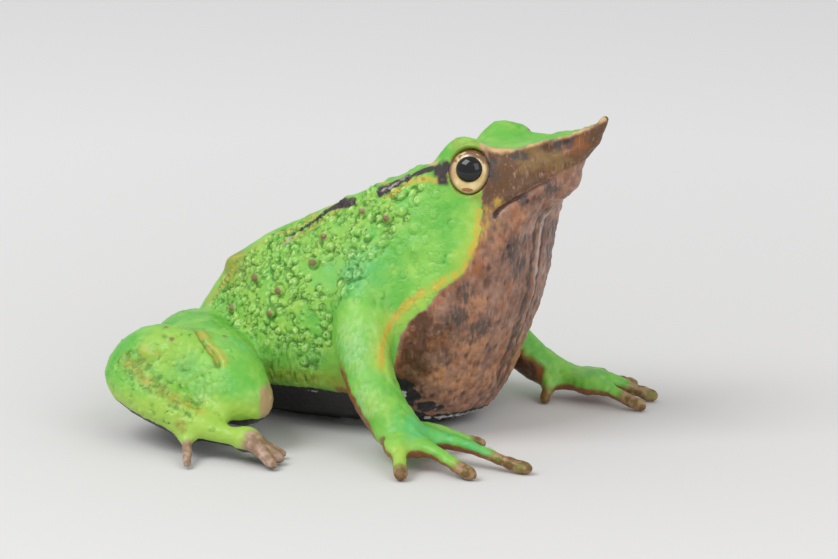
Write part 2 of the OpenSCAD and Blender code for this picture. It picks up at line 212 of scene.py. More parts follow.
# Head, the front of the back shell's moulding. The snout has a sharp edge on each side, from the eye to its
# tip, a flat top between the edges and hollow cheeks under them. The mouth is a line cut into the sculpt,
# with a full lower lip.
SNOUT_EDGE = [(18.2, 8.4, 45.3), (19.9, 7.3, 45.0), (21.6, 6.9, 44.8), (23.1, 6.6, 44.9), (25.6, 5.5, 45.4),
              (27.3, 4.5, 46.0), (29.4, 3.3, 46.5), (31.3, 2.3, 47.1), (33.0, 1.6, 47.9), (34.4, 1.1, 48.7),
              (35.4, 0.0, 49.4)]
MOUTH = [(22.1, 10.7, 35.1), (22.3, 10.3, 35.8), (23.0, 9.8, 36.5), (24.1, 9.1, 37.3), (25.0, 8.3, 37.8),
         (25.9, 7.1, 38.5), (27.2, 5.8, 39.4), (28.7, 4.2, 40.3), (29.8, 2.9, 40.8), (31.0, 0.0, 41.1)]
UNDER_TIP, UPPER_LIP, CHIN, NOSTRIL = (33.9, 0, 46.3), (32.0, 0, 44.0), (30.2, 0, 39.4), (30.4, 3.0, 45.9)
EDGE_HEIGHT, CHEEK_HOLLOW, MOUTH_DEPTH, NOSTRIL_DEPTH = 0.4, 0.3, 0.45, 0.4


def smooth_line(points, steps=4):
    """Points of a smooth curve through the given ones."""
    p = np.array([points[0], *points, points[-1]], float)
    t = np.linspace(0, 1, steps, endpoint=False)[:, None]
    spans = [
        b + 0.5 * t * (c - a + t * (2 * a - 5 * b + 4 * c - d + t * (3 * (b - c) + d - a)))
        for a, b, c, d in zip(p, p[1:], p[2:], p[3:])
    ]
    return np.vstack([*spans, p[-1]])


def off_line(points, reach=6.0):
    """Each point's distance from a smooth line on both sides of the body, and how far along it is, 0 to 1."""
    line = smooth_line(points)
    distance, along = np.full(count, FAR / MM), np.zeros(count)
    near = np.flatnonzero(np.all((mirrored > line.min(0) - reach) & (mirrored < line.max(0) + reach), axis=1))
    for number, (a, b) in enumerate(zip(line, line[1:])):
        t = np.clip((mirrored[near] - a) @ (b - a) / ((b - a) @ (b - a)), 0, 1)
        gap = np.linalg.norm(mirrored[near] - a - t[:, None] * (b - a), axis=1)
        closer = gap < distance[near]
        distance[near[closer]] = gap[closer]
        along[near[closer]] = (number + t[closer]) / (len(line) - 1)
    return distance, along


def off_point(point, whole=True):
    """Each point's distance from one place on both sides of the body, or on its own side alone."""
    return np.linalg.norm((mirrored if whole else place) - np.array(point), axis=1)


def tapered(along, start=0.12, end=0.12):
    """1 along a line, fading out at its ends."""
    return rise(0, start, along) * rise(0, end, 1 - along)


snout_edge, along_edge = off_line(SNOUT_EDGE)
mouth, along_mouth = off_line(MOUTH)
mouth_depth = MOUTH_DEPTH * rise(0, 0.06, along_mouth) * (1 - 0.7 * rise(0.75, 0.95, along_mouth))
carved += EDGE_HEIGHT * bell(snout_edge, 0.6) * rise(0.1, 0.4, along_edge)
carved += 0.95 * bell(off_point(UNDER_TIP), 1.9) * rise(-0.7, 0.1, -facing[:, 2])
carved += 0.7 * bell(off_point(UPPER_LIP), 2.0) + 0.6 * bell(off_point(CHIN), 2.4)
carved -= CHEEK_HOLLOW * bell(snout_edge - 1.6, 0.9) * tapered(along_edge, 0.1, 0.15)
carved -= mouth_depth * bell(mouth, 0.33)
carved += 0.5 * mouth_depth * bell(mouth - 0.95, 0.5)
carved -= NOSTRIL_DEPTH * bell(off_point(NOSTRIL), 0.45)

# Back, the top of the back shell. A fold of the vinyl runs down each side of it from the brow to the rump,
# with small steps in its crest, where the sculptor pinched the clay.
CREST = [(11.0, 8.2, 41.4), (8.8, 7.7, 40.5), (5.0, 7.7, 39.0), (1.5, 7.9, 37.4), (-2.4, 7.9, 35.4),
         (-5.2, 7.8, 33.9), (-8.7, 7.9, 32.1), (-12.0, 8.3, 30.3), (-17.0, 8.4, 27.4), (-20.6, 8.3, 24.9),
         (-24.0, 7.2, 22.2), (-27.9, 6.4, 17.2), (-30.7, 5.4, 13.4)]
HUMPS = [  # the place of each step, its width and its height
    ((1.2, 7.9, 37.4), 1.5, 0.5), ((-3.8, 7.9, 34.8), 1.1, 0.45), ((-10.0, 8.0, 31.5), 1.2, 0.3),
    ((-23.4, 7.6, 22.8), 1.9, 1.0),
]
FOLD_HEIGHT, FOLD_WIDTH = 0.3, 0.9
crest, along_crest = off_line(CREST)
carved += FOLD_HEIGHT * bell(crest, FOLD_WIDTH) * tapered(along_crest, 0.08, 0.1)
for hump, width, height in HUMPS:
    carved += height * bell(off_point(hump), width)

# Skin of the flanks, pressed into the sculpt with small tools before it is moulded. Granules about 1.3 mm
# wide cover it, some of them rings or curls. They give way to fine wrinkles above the belly and to smooth
# skin behind the mouth, and a few large warts stand among them.
WARTS = [(0.3, 10.8, 33.8), (5.1, 12.2, 33.5), (-5.6, 11.9, 29.6), (-6.2, 14.1, 26.1), (-11.6, 15.0, 21.6),
         (-16.9, 12.4, 22.2), (-12.4, 16.2, 18.2), (-21.5, 13.0, 17.5)]
WART_RADIUS, WART_HEIGHT, WART_GROOVE = 0.75, 0.5, 0.16
GRANULE_RADIUS, GRANULE_SPACING, GRANULE_HEIGHT = 0.58, 0.95, 0.26
CROWDED, SPARSE = 0.12, 0.012  # the chance that a point of the skin is tried for a granule
dice = np.random.default_rng(7)
skin_tree = kdtree.KDTree(count)
for number, point in enumerate(place):
    skin_tree.insert(point, number)
skin_tree.balance()


def grain(size, seed, stretch=(1, 1, 1)):
    """Smooth noise from -1 to 1, its lumps about size mm across, drawn out by stretch."""
    seeds = np.array([seed * 13.7, seed * 5.1, 0])
    return np.array([noise.noise(point) for point in place / (size * np.array(stretch)) + seeds])


def on(*nodes):
    """1 on these mouldings and 0 on the others, fading across their joints."""
    mine = gaps[:, [MOULDINGS.index(n) for n in nodes]].min(axis=1)
    others = gaps[:, [i for i, n in enumerate(MOULDINGS) if n not in nodes]].min(axis=1)
    return rise(-1.5, 1.5, others - mine)


on_back = on("back_shell")
on_arms = on("right_foreleg", "left_foreleg")
on_legs = on("right_hind_leg", "left_hind_leg")
on_belly = on("belly_plate")
on_trunk = np.clip(on_back + on_belly, 0, 1)
broad_forms = carved.copy()
crest_height = np.interp(x, [-30.7, -27.9, -24, -20.6, -17, -12, -8.7, -2.4, 5, 11],
                         [13.4, 17.2, 22.2, 24.9, 27.4, 30.3, 32.1, 35.4, 39.0, 41.4])
front_limit = np.interp(z, [8, 20, 25, 29, 33, 38], [-2, 1, 3.5, 6.5, 9.5, 11])
shoulder = on_arms * rise(21, 24, z)
below_fold = rise(0.4, 1.4, crest_height - z + 0.8 * (y - 7.6))
flank = (on_back + shoulder) * below_fold * rise(6.5, 8.5, y + 0.25 * (z - 20))
behind_front = rise(0, 2.5, front_limit - x)
patchy = rise(-0.65, -0.15, grain(4.5, 21))
granular = flank * behind_front * rise(-32, -27, x) * rise(11, 15, z) * patchy
wrinkled = flank * behind_front * (1 - rise(13, 18, z)) * rise(6, 8, z)
smooth_zone = flank * (1 - behind_front) * rise(16, 18, z) * (1 - rise(14, 17, x))


def press(number, radius, shape, length=1.0, turn=0.0):
    """Presses a tool on the skin: shape gives its height by distance, in radii, and by direction."""
    found = np.array([i for _, i, _ in skin_tree.find_range(place[number], radius * 2 * length)])
    across = np.cross(outward[number], [math.cos(turn), math.sin(turn), 0.3])
    across /= np.linalg.norm(across)
    offset = place[found] - place[number]
    u, v = offset @ across * length, offset @ np.cross(across, outward[number]) / length
    carved[found] += shape(np.hypot(u, v) / radius, np.arctan2(v, u))


def scatter(zone, spacing):
    """Numbers of points of the skin that lie at least spacing mm apart, more of them where zone is near 1."""
    taken = np.zeros(count, bool)
    chosen = []
    for number in dice.permutation(np.flatnonzero(zone > dice.random(count))):
        if not taken[number]:
            chosen.append(number)
            taken[[i for _, i, _ in skin_tree.find_range(place[number], spacing)]] = True
    return chosen


def ring_tool(height, opening):
    """A granule with a dimple, cut off from its neighbours by a groove that is deepest on one side."""
    def shape(d, turn):
        groove = 0.25 + 0.75 * rise(-0.4, 0.6, np.cos(turn - opening))
        return height * (bell(d - 0.6, 0.34) - 1.1 * groove * bell(d - 1.25, 0.26))
    return shape


def dome_tool(height, opening):
    """A plain round granule with a crescent of groove on one side."""
    def shape(d, turn):
        groove = rise(-0.3, 0.7, np.cos(turn - opening))
        return height * (1 - rise(0.3, 1.1, d) - 1.3 * groove * bell(d - 1.2, 0.27))
    return shape


def curl_tool(height, opening):
    """An open curl, raised along most of a circle, with a cut inside it."""
    def shape(d, turn):
        drawn = rise(-0.6, 0.1, np.cos(turn - opening))
        return height * drawn * (0.9 * bell(d - 0.8, 0.28) - 0.9 * bell(d - 0.25, 0.3))
    return shape


TOOLS = [ring_tool, ring_tool, dome_tool, curl_tool]
for number in scatter(CROWDED * granular, GRANULE_SPACING):
    tool = TOOLS[dice.integers(len(TOOLS))]
    size = GRANULE_RADIUS * dice.uniform(0.65, 1.4)
    height = GRANULE_HEIGHT * dice.uniform(0.5, 1.25)
    press(number, size, tool(height, dice.uniform(-3.2, 3.2)), dice.uniform(0.85, 1.2), dice.uniform(0, 3.2))
for number in scatter(SPARSE * smooth_zone, 1.3):
    press(number, dice.uniform(0.4, 0.8), ring_tool(0.1, dice.uniform(-3.2, 3.2)))


def wart_tool(d, turn):
    """A large round wart in a shallow groove."""
    return WART_HEIGHT * (1 - rise(0.3, 1.15, d)) - WART_GROOVE * bell(d - 1.4, 0.3)


wart_tops = np.zeros(count)
for wart in WARTS:
    for hand in (-1, 1):
        centre = skin_tree.find((wart[0], wart[1] * hand, wart[2]))[1]
        near_wart = np.linalg.norm(place - place[centre], axis=1)
        carved *= 1 - 0.8 * bell(near_wart, 1.1)
        press(centre, WART_RADIUS, wart_tool)
        wart_tops = np.maximum(wart_tops, 1 - rise(0.3, 0.9, near_wart))
carved += wrinkled * (0.3 * grain(1.0, 3, (0.45, 1, 1.6)) + 0.12 * grain(1.8, 31))
carved += on_back * 0.07 * grain(1.4, 4) + 0.04 * grain(0.8, 5)

# Throat, the swollen front of the back shell. A fold of the vinyl runs down the middle of it, and short
# fine wrinkles cover the rest.
KEEL = [(28.5, 0, 36.0), (25.6, 0, 33.5), (25.0, 0, 31.0), (24.7, 0, 29.2), (24.1, 0, 26.1), (22.8, 0, 20.6),
        (20.9, 0, 16.1), (19.3, 0, 12.4), (17.5, 0, 8.0), (15.8, 0, 4.8)]
KEEL_HEIGHT, BESIDE_KEEL = 0.3, 0.2
THROAT_PITS = [((23.9, 9.4, 30.2), 0.4), ((23.9, 8.8, 28.9), 0.3)]  # the place of each and its depth
keel, along_keel = off_line(KEEL, 9)
edge_of_throat = np.interp(
    z, [4, 9, 14, 17.2, 18.8, 20.2, 22.3, 24.2, 25.6, 27.0, 29.5, 31.4, 33.5, 35.9, 37.5, 39.5, 42, 44.8],
    [7.4, 7.9, 9.3, 10.1, 11.0, 12.3, 14.4, 15.6, 17.4, 19.1, 19.8, 20.3, 20.6, 20.4, 20.0, 19.8, 19.9, 18.8])
ahead = x - edge_of_throat + 0.35 * grain(2.5, 33) + 0.3 * grain(0.8, 36)
throat = rise(-0.7, 0.6, ahead) * on_trunk
carved += KEEL_HEIGHT * bell(keel, 0.8) * tapered(along_keel, 0.1, 0.05)
carved -= BESIDE_KEEL * bell(keel - 1.8, 0.7) * tapered(along_keel, 0.1, 0.05)
under_mouth = rise(0.5, 3, mouth) * (1 - rise(36, 40, z)) * throat
brush_lines = grain(1.1, 8, (0.6, 0.6, 1.8))
carved += under_mouth * (0.2 * brush_lines + 0.14 * grain(2.2, 9, (1, 1, 0.7)) + 0.14 * grain(1.0, 34))
for pit_place, pit_depth in THROAT_PITS:
    carved -= pit_depth * bell(off_point(pit_place), 0.5)

# Hind legs. Each is one vinyl moulding, folded, and held by a glued peg at the hip. Two creases cross it: one
# over the top of the thigh, cut deep with a raised lip, and one along the side between thigh and shank, which
# is rough and pitted.
THIGH_CREASE = [(-21.0, 25.6, 17.0), (-19.6, 26.8, 16.5), (-18.0, 28.3, 15.7), (-16.1, 29.2, 14.4),
                (-14.6, 30.5, 13.4), (-13.4, 31.6, 12.2)]
SHANK_CREASE = [(-30.0, 32.5, 13.4), (-28.2, 34.0, 12.6), (-26.0, 34.8, 11.8), (-23.3, 35.8, 10.7),
                (-20.9, 36.2, 9.8), (-18.2, 36.3, 8.7), (-15.9, 35.9, 7.8), (-14.2, 35.4, 7.0)]
LEG_WARTS = [(-22.1, 30.8, 16.2), (-24.0, 28.8, 17.4), (-16.5, 24.3, 15.8)]
LIP_HEIGHT, THIGH_CREASE_DEPTH, SHANK_CREASE_DEPTH, LEG_WART_HEIGHT = 0.45, 0.7, 0.25, 0.22
SMALL_TOE_REACH = [1.2, 2.5, 0]
thigh_crease, along_thigh = off_line(THIGH_CREASE)
shank_crease, along_shank = off_line(SHANK_CREASE)
thigh_lip, _ = off_line([(a + 1.0, b + 0.1, c + 0.1) for a, b, c in THIGH_CREASE])
lip_and_cut = LIP_HEIGHT * bell(thigh_lip, 0.65) - THIGH_CREASE_DEPTH * bell(thigh_crease, 0.4)
carved += on_legs * tapered(along_thigh, 0.15, 0.2) * lip_and_cut
pitted = on_legs * bell(shank_crease, 2.6) * tapered(along_shank, 0.08, 0.12)
between_creases = on_legs * bell(off_point((-20.0, 33.0, 13.0)), 6) * rise(0.8, 1.6, shank_crease)
rough_leg = on_legs * (1 - rise(-16, -10, x)) * rise(4, 8, z)
for number in scatter(CROWDED * pitted + 0.02 * between_creases + 0.004 * rough_leg, 0.7):
    tool = TOOLS[dice.integers(len(TOOLS))]
    press(number, dice.uniform(0.3, 0.55), tool(dice.uniform(0.05, 0.18), dice.uniform(-3.2, 3.2)),
          dice.uniform(0.8, 1.3), dice.uniform(0, 3.2))
carved -= pitted * SHANK_CREASE_DEPTH
broad_forms -= pitted * 0.13
rough = np.clip(pitted + 0.5 * between_creases + 0.3 * rough_leg, 0, 1)
carved += rough * (0.24 * grain(0.85, 11) + 0.2 * grain(1.7, 13))
carved += on_legs * (0.12 * grain(2.2, 12) + 0.09 * grain(0.8, 17)) * rise(2, 6, z)
small_toe = rise(38.5, 42.5, y) * on_legs
shift += small_toe[:, None] * SMALL_TOE_REACH * fold
for wart in LEG_WARTS:
    for hand in (-1, 1):
        centre = skin_tree.find((wart[0], wart[1] * hand, wart[2]))[1]
        press(centre, 0.5, lambda d, turn: LEG_WART_HEIGHT * (1 - rise(0.3, 1.1, d)), 1.3)
        wart_tops = np.maximum(wart_tops, 1 - rise(0.1, 0.7, np.linalg.norm(place - place[centre], axis=1)))

# Forelegs. Each is one vinyl moulding, arm and hand, held by a glued peg at the shoulder. Long shallow folds
# run down the arm, and the right wrist and the fingertips are a little swollen.
TIPS = {"right": [(18.4, -36.1, 0.9), (27.5, -31.4, 0.9), (33.6, -24.9, 0.9), (21.6, -14.4, 0.9)],
        "left": [(19.6, 14.2, 0.9), (28.6, 28.7, 0.9), (34.3, 22.8, 0.9), (35.3, 16.3, 0.9)]}
RIGHT_WRIST = (11.8, -30.0, 3.8)
WRIST_SWELLING, TIP_SWELLING = 0.7, 0.25
carved += on_arms * (0.1 * grain(1.4, 14, (0.8, 0.8, 2.2)) + 0.08 * grain(0.9, 15))
swollen = WRIST_SWELLING * bell(off_point(RIGHT_WRIST, False), 2.4)
for tip in TIPS["right"] + TIPS["left"]:
    swollen = np.maximum(swollen, TIP_SWELLING * bell(off_point(tip, False), 1.8))
shift += outward * swollen[:, None]

# Painting. Once its pieces are glued, the whole figurine is sprayed green, and every other colour is brushed
# on it by hand. Some coats here also carry painted shade and painted highlights, as said where they are laid.
# Each coat is kept here as an amount at every point of the skin, which the vinyl paint reads.
# Above 1 a coat is so thick that its edge hardly breaks up.
EDGE_LINE = smooth_line(SNOUT_EDGE)
edge_y, edge_z = (np.interp(x, EDGE_LINE[:, 0], EDGE_LINE[:, i]) for i in (1, 2))
top_of_head = rise(-0.25, 0.25, z - edge_z + 0.9 * (edge_y - y) + 0.5 * (side > 0)) * rise(14, 17, x)
downwards = -outward[:, 2]
inwards = -outward[:, 1]  # on the left side alone
under = rise(-0.15, 0.45, downwards)
right_hand, left_hand = (on_arms * (side == hand) for hand in (-1, 1))
ARM_BAND = [(17.3, 14.5, 26.6), (14.7, 15.5, 24.7), (12.0, 16.2, 23.1), (10.0, 17.1, 21.2), (8.9, 18.0, 19.6),
            (8.6, 19.6, 18.3), (8.7, 21.4, 17.0), (9.1, 22.9, 15.5), (9.7, 24.3, 13.9), (10.4, 25.6, 12.4)]
STRIPE = [(12.8, 9.7, 41.1), (10.9, 8.8, 41.0), (8.8, 8.0, 40.2), (7.1, 7.7, 39.5), (5.9, 8.0, 38.8),
          (4.8, 8.3, 38.1), (3.8, 8.7, 37.5), (2.7, 8.9, 36.9), (1.8, 9.1, 36.3)]
REAR_STRIPE = [(-1.6, 8.5, 35.1), (-2.9, 8.7, 34.4), (-4.0, 8.4, 34.0), (-5.1, 8.2, 33.6), (-6.0, 8.2, 33.1),
               (-7.2, 8.4, 32.4), (-8.2, 8.8, 31.6), (-9.6, 9.2, 30.5), (-11.5, 9.5, 29.3),
               (-13.5, 9.4, 28.4), (-15.6, 9.4, 27.3)]
RUMP_LINE = [(-22.0, 8.8, 23.2), (-23.4, 8.9, 21.0), (-25.5, 8.0, 18.9), (-27.7, 7.3, 16.6),
             (-28.6, 7.0, 15.2)]
arm_band, along_band = off_line(ARM_BAND)
stripe, along_stripe = off_line(STRIPE)
rear_stripe, along_rear = off_line(REAR_STRIPE)
rump_line, along_rump = off_line(RUMP_LINE)
wander = np.stack([1.1 * grain(1.8, seed) + 0.5 * grain(0.7, seed + 3) for seed in (41, 42, 43)], axis=1)
coats = {}


def coat(name, *amounts):
    """Adds to where a coat of paint lies, from 0, bare, to 1, covered."""
    coats[name] = np.maximum.reduce([coats.get(name, np.zeros(count)), *amounts])


def dabs(spots, where=1.0):
    """Dabs of the brush with uneven edges, each a place on both sides of the body, a radius and an amount."""
    found = 0
    for *spot, radius, amount in spots:
        off_dab = np.linalg.norm(mirrored + 0.35 * radius * wander - spot, axis=1)
        found = np.maximum(found, amount * bell(off_dab, radius))
    return where * found


# The brown of the throat, snout and undersides, and what is brushed over it.
above_mouth = rise(0, 1.6, z - 35.6 - 0.64 * (x - 22)) * rise(19.3, 20.6, x)
coat("umber", 1.6 * throat * (1 - top_of_head))
coat("bark", 1.2 * above_mouth)
coat("fawn", dabs([(26.0, 6.4, 43.4, 2.6, 1.0), (29.0, 4.3, 43.4, 2.4, 1.0), (22.6, 10.3, 34.2, 1.2, 0.7)]))
coat("rust", 0.75 * throat * bell(ahead - 0.6, 0.9) * (1 - rise(27, 30, z)), dabs([
    (12.0, 16.9, 16.5, 3.0, 0.8), (31.5, 2.4, 45.5, 2.2, 0.8), (28.5, 4.6, 41.4, 1.8, 0.5)], throat))
# Dark umber: painted shade low on the throat beside the arms, and a dark dab on the side of the snout.
coat("dark_umber_shade", dabs([(12.5, 16.6, 18.6, 3.4, 1.0), (11.0, 17.2, 14.4, 3.2, 1.0), (12.3, 16.4, 12.2, 2.2, 0.9),
                   (15.6, 15.4, 18.0, 2.4, 0.8), (10.0, 16.6, 9.6, 2.2, 0.9),
                   (28.3, 4.6, 45.1, 1.1, 1.0)], throat))
coat("clay", dabs([(14.2, 14.4, 10.8, 2.4, 0.8), (16.5, 10.5, 9.0, 3.6, 0.8), (19.6, 12.4, 21.8, 2.6, 0.7),
                   (22.3, 10.2, 31.5, 2.6, 0.6), (18.5, 4.5, 8.6, 2.6, 0.7), (25.3, 7.9, 35.0, 2.4, 0.5),
                   (18.4, 11.2, 14.6, 3.4, 0.75)], throat))
# Slate grey dabs on the throat and snout, and a slate band beside the throat's fold that is painted shade.
coat("slate_and_keel_shade", dabs([(23.8, 8.2, 29.4, 2.5, 1.0), (23.9, 5.6, 26.4, 2.4, 0.9), (24.3, 4.6, 30.6, 1.8, 0.8),
                    (28.6, 4.4, 38.9, 1.7, 0.9), (26.9, 6.0, 37.3, 1.1, 0.9), (25.6, 7.8, 37.3, 1.2, 1.0),
                    (18.6, 14.1, 23.6, 2.0, 0.8), (17.6, 14.1, 19.8, 2.2, 0.8), (19.8, 11.2, 17.6, 2.6, 0.85),
                    (20.6, 9.4, 20.4, 2.0, 0.6), (20.5, 8.9, 42.8, 1.2, 1.0), (21.0, 9.3, 41.2, 1.2, 1.0),
                    (23.9, 6.9, 44.0, 1.0, 0.9), (25.0, 6.6, 43.9, 1.0, 0.8), (29.4, 3.8, 45.5, 1.2, 1.0),
                    (30.8, 2.8, 45.9, 1.0, 1.0), (22.3, 11.0, 33.4, 0.7, 0.7), (16.0, 12.5, 14.6, 1.8, 0.6)]),
     0.85 * bell(keel - 1.5, 0.7) * tapered(along_keel, 0.1, 0.05) * rise(8, 14, z))
coat("russet", right_hand * rise(-0.3, 0.3, downwards) * rise(15.5, 17.5, x))
coat("russet", left_hand * under * rise(17, 19, x))
coat("russet", left_hand * rise(0.4, 0.7, inwards) * rise(-0.55, -0.15, downwards) * (1 - rise(18, 20, x)))
coat("russet", 0.9 * right_hand * rise(0.72, 0.86, facing @ [-0.88, 0.4, -0.2]) * (1 - rise(12, 16, z)))
coat("russet", dabs([(-16.9, 38.4, 5.0, 1.3, 0.6), (-8.6, 31.9, 4.8, 0.8, 0.6)], on_legs))
coat("russet", 0.8 * on_back * rise(0, 0.3, downwards) * bell(z - 7.4, 1)
     * rise(-4, 0, x) * (1 - rise(3, 5, x)))
coat("shade", left_hand * rise(0.45, 0.8, inwards) * rise(-0.45, 0.0, downwards) * (1 - rise(16.5, 18.5, x)))

# The yellows and other greens along the edges of the limbs, the border of the throat and the creases.
BORDER_WIDTH = np.interp(z, [18, 24, 30, 36], [0.8, 0.7, 0.6, 0.8])
beside_throat = on_trunk * rise(6, 8, x) * (1 - rise(34.5, 38.5, z))
under_crest = rise(-0.3, 0.3, crest_height - z)
coat("lime", 0.8 * beside_throat * bell(np.where(ahead < -1.2, 0.45, 1) * (ahead + 1.2), 1.0))
coat("lime", on_arms * bell(arm_band, 2.2) * tapered(along_band, 0.2, 0.1), 0.45 * granular)
coat("lime", 0.7 * on_back * (1 - rise(8, 13, z)) * (x < 2), on_legs * (1 - rise(6, 11, z)) * (z > 1))
coat("lime", 0.6 * bell(rump_line, 1.4) * tapered(along_rump))
coat("lime", dabs([(-22.0, 31.0, 14.5, 6.5, 0.7), (-17.0, 37.0, 7.0, 5.0, 0.9)], on_legs))
coat("lime", dabs([(17.5, 33.5, 3.0, 4.0, 0.9), (26.5, 31.5, 2.0, 3.5, 0.7),
                   (10.5, 27.0, 8.0, 3.0, 0.6)], on_arms))
coat("ochre", 0.75 * beside_throat * bell(ahead + 0.6, BORDER_WIDTH) * rise(15.5, 17.5, x))
coat("ochre", 0.8 * on_trunk * (1 - on_arms) * bell(arm_band, 0.8) * (along_band < 0.45))
coat("ochre", 0.85 * bell(arm_band, 0.7) * rise(0.25, 0.4, along_band) * rise(0, 0.15, 1 - along_band))
coat("gold", 0.6 * beside_throat * bell(ahead + 0.1, 0.4) * rise(15.5, 17.5, x))
coat("gold", dabs([(22.3, 10.1, 37.0, 0.9, 0.85), (21.0, 10.9, 36.0, 1.0, 0.7),
                   (20.9, 11.3, 34.2, 1.1, 0.7), (20.6, 11.8, 32.2, 0.8, 0.6)]))
coat("ochre", 0.9 * bell(stripe - 1.5, 0.6) * under_crest * (1 - rise(0.75, 1, along_stripe)))
coat("honey", on_legs * 0.9 * tapered(along_thigh, 0.05, 0.2) * bell(thigh_lip, 1.1))
coat("honey", on_legs * 0.45 * tapered(along_shank, 0.1, 0.2) * bell(shank_crease, 1.4))
coat("honey", dabs([(-25.6, 33.3, 14.2, 1.9, 0.6), (-23.8, 33.0, 14.4, 1.4, 0.5),
                    (-14.5, 35.8, 6.6, 1.2, 0.6)], on_legs))
coat("olive_and_shade", dabs([(-23.4, 8.2, 22.4, 3.2, 1.2), (-19.5, 10.5, 22.5, 2.5, 0.5), (16.0, 8.6, 45.2, 2.4, 0.6),
                    (19.3, 10.7, 37.4, 1.5, 0.7)]))
coat("olive_and_shade", at_eye * (1 - pit) * bell(ring - 1.05, 0.1))
# Olive in the shank's crease, paint and painted shade both, and olive on the downward faces low on the flank,
# painted shade.
coat("olive_and_shade", on_legs * 0.6 * tapered(along_shank, 0.05, 0.1) * bell(shank_crease, 1.7))
coat("olive_and_shade", 0.7 * on_back * rise(-0.1, 0.4, downwards) * rise(7, 9, z) * (1 - rise(11, 14, z)) * (x < 4))
coat("teal", dabs([(1.8, 17.0, 26.6, 4.2, 0.75), (-3.0, 16.5, 25.5, 3.5, 0.5), (8.5, 25.5, 12.0, 2.0, 0.5)]))
coat("teal", dabs([(17.6, 26.8, 5.6, 4.0, 0.8), (25.5, 26.5, 3.5, 3.5, 0.7),
                   (21.0, 25.0, 4.5, 3.0, 0.7)], right_hand))
coat("teal", dabs([(-29.5, 27.0, 14.5, 5.0, 0.6), (-14.0, 24.5, 14.5, 3.5, 0.5),
                   (-19.0, 32.0, 12.5, 2.5, 0.5)], on_legs))
# Pale green streaks on the arms, on the wrinkles above the belly and on the shank: painted highlights.
coat("pale_highlight", dabs([(4.6, 24.2, 16.0, 4.2, 0.8), (8.6, 27.6, 9.0, 3.0, 0.7)], on_arms))
coat("pale_highlight", 0.35 * wrinkled * rise(8, 11, z), dabs([(-15.5, 33.5, 9.5, 2.6, 0.6)], on_legs))
coat("granular", granular, 0.5 * wrinkled, 0.6 * pitted, 0.25 * between_creases, 0.3 * smooth_zone)

# The pale tan edge of the snout and the fold of the back, the pink tips of the limbs and the warts.
outer_side = rise(0.05, 0.35, facing[:, 1])
coat("sand", bell(snout_edge, 0.5 + 0.5 * (1 - rise(0.2, 0.35, along_edge))) * outer_side
     * np.where(side < 0, rise(0, 0.05, along_edge), rise(0.12, 0.2, along_edge)))
coat("honey", 0.7 * bell(crest, 0.4) * tapered(along_crest, 0.05, 0.3) * (x < -15))
coat("honey", 0.8 * bell(rump_line, 0.6) * tapered(along_rump))
coat("sand", 0.85 * bell(stripe - 1.0, 0.35) * (1 - under_crest) * tapered(along_stripe, 0.1, 0.1))
coat("honey", 0.8 * bell(rear_stripe - 0.9, 0.4) * tapered(along_rear, 0.4, 0.1))
coat("wart", wart_tops)
FINGER_PAINT = {-1: (1.8, 3.0, 6.0, 2.6), 1: (2.2, 6.5, 4.6, 4.4)}  # how far it reaches up each finger, in mm
for hand, tips in ((-1, TIPS["right"]), (1, TIPS["left"])):
    for tip, length in zip(tips, FINGER_PAINT[hand]):
        unpainted = rise(0.35 * length, 1.4 * length, off_point(tip, False))
        coat("finger", 1.2 * on_arms * (side == hand) * (1 - unpainted))
coat("flesh", 1.3 * on_legs * rise(-7.2, -3.8, x + 0.35 * (y - 36)) * (1 - rise(5, 7, z)))
coat("flesh", 1.3 * on_legs * (1 - rise(2.2, 4.4, off_point((-14.0, 41.2, 0.9)))))
coat("tan", on_legs * rise(-22.4, -21.2, x - 0.47 * y + 0.4 * grain(1.2, 18))
     * rise(0.1, 0.4, facing[:, 0]) * rise(3.6, 4.6, z) * (1 - rise(9, 11, z)))

# Last come the black stripes, their scratches and a painted highlight along the throat's fold, the line of
# the mouth, the black belly, the bare vinyl and a white line along the bottom of the belly plate.
coat("stripe", 1.2 * bell(stripe, 0.5 + 0.3 * rise(0.1, 0.5, along_stripe))
     * (1 - rise(0.95, 1, along_stripe)))
coat("stripe", 1.3 * bell(rear_stripe, 0.26 + 0.5 * bell(along_rear - 0.18, 0.22))
     * tapered(along_rear, 0.04, 0.25))
coat("stripe", dabs([(13.2, 9.9, 41.4, 1.3, 1.3), (13.3, 10.1, 40.2, 1.2, 1.3), (12.2, 9.5, 41.0, 1.1, 1.3)]))
coat("scratch_and_keel_highlight", 0.85 * bell(stripe + 0.1, 0.4) * rise(0.25, 0.5, along_stripe)
     * (1 - rise(0.85, 0.95, along_stripe)))
# A pale line along the throat's fold: a painted highlight.
coat("scratch_and_keel_highlight", 0.6 * bell(keel - 0.2, 0.5) * tapered(along_keel, 0.1, 0.2))
coat("scratch_and_keel_highlight", dabs([(-13.0, 10.0, 27.9, 1.2, 0.7)]))
coat("mouth_line", 1.2 * bell(mouth, 0.27 + 0.1 * (1 - rise(0.1, 0.3, along_mouth)))
     * (1 - rise(0.8, 0.92, along_mouth)))
coat("mouth_line", dabs([(30.4, 3.0, 45.8, 0.5, 1.0), (26.0, 7.4, 37.2, 0.5, 0.9),
                         (23.9, 9.3, 30.4, 0.5, 0.9)]))
coat("soot", 2 * rise(0.4, 0.6, on_belly), 1.6 * on_legs * rise(0.5, 0.75, downwards))
coat("soot", on_back * rise(0.5, 0.9, downwards) * (1 - rise(6.5, 8, z)) * (1 - rise(6, 9, x)))
coat("soot", 1.2 * on_trunk * (1 - rise(2.4, 3.6, z)) * (1 - rise(15.5, 17.5, x)))
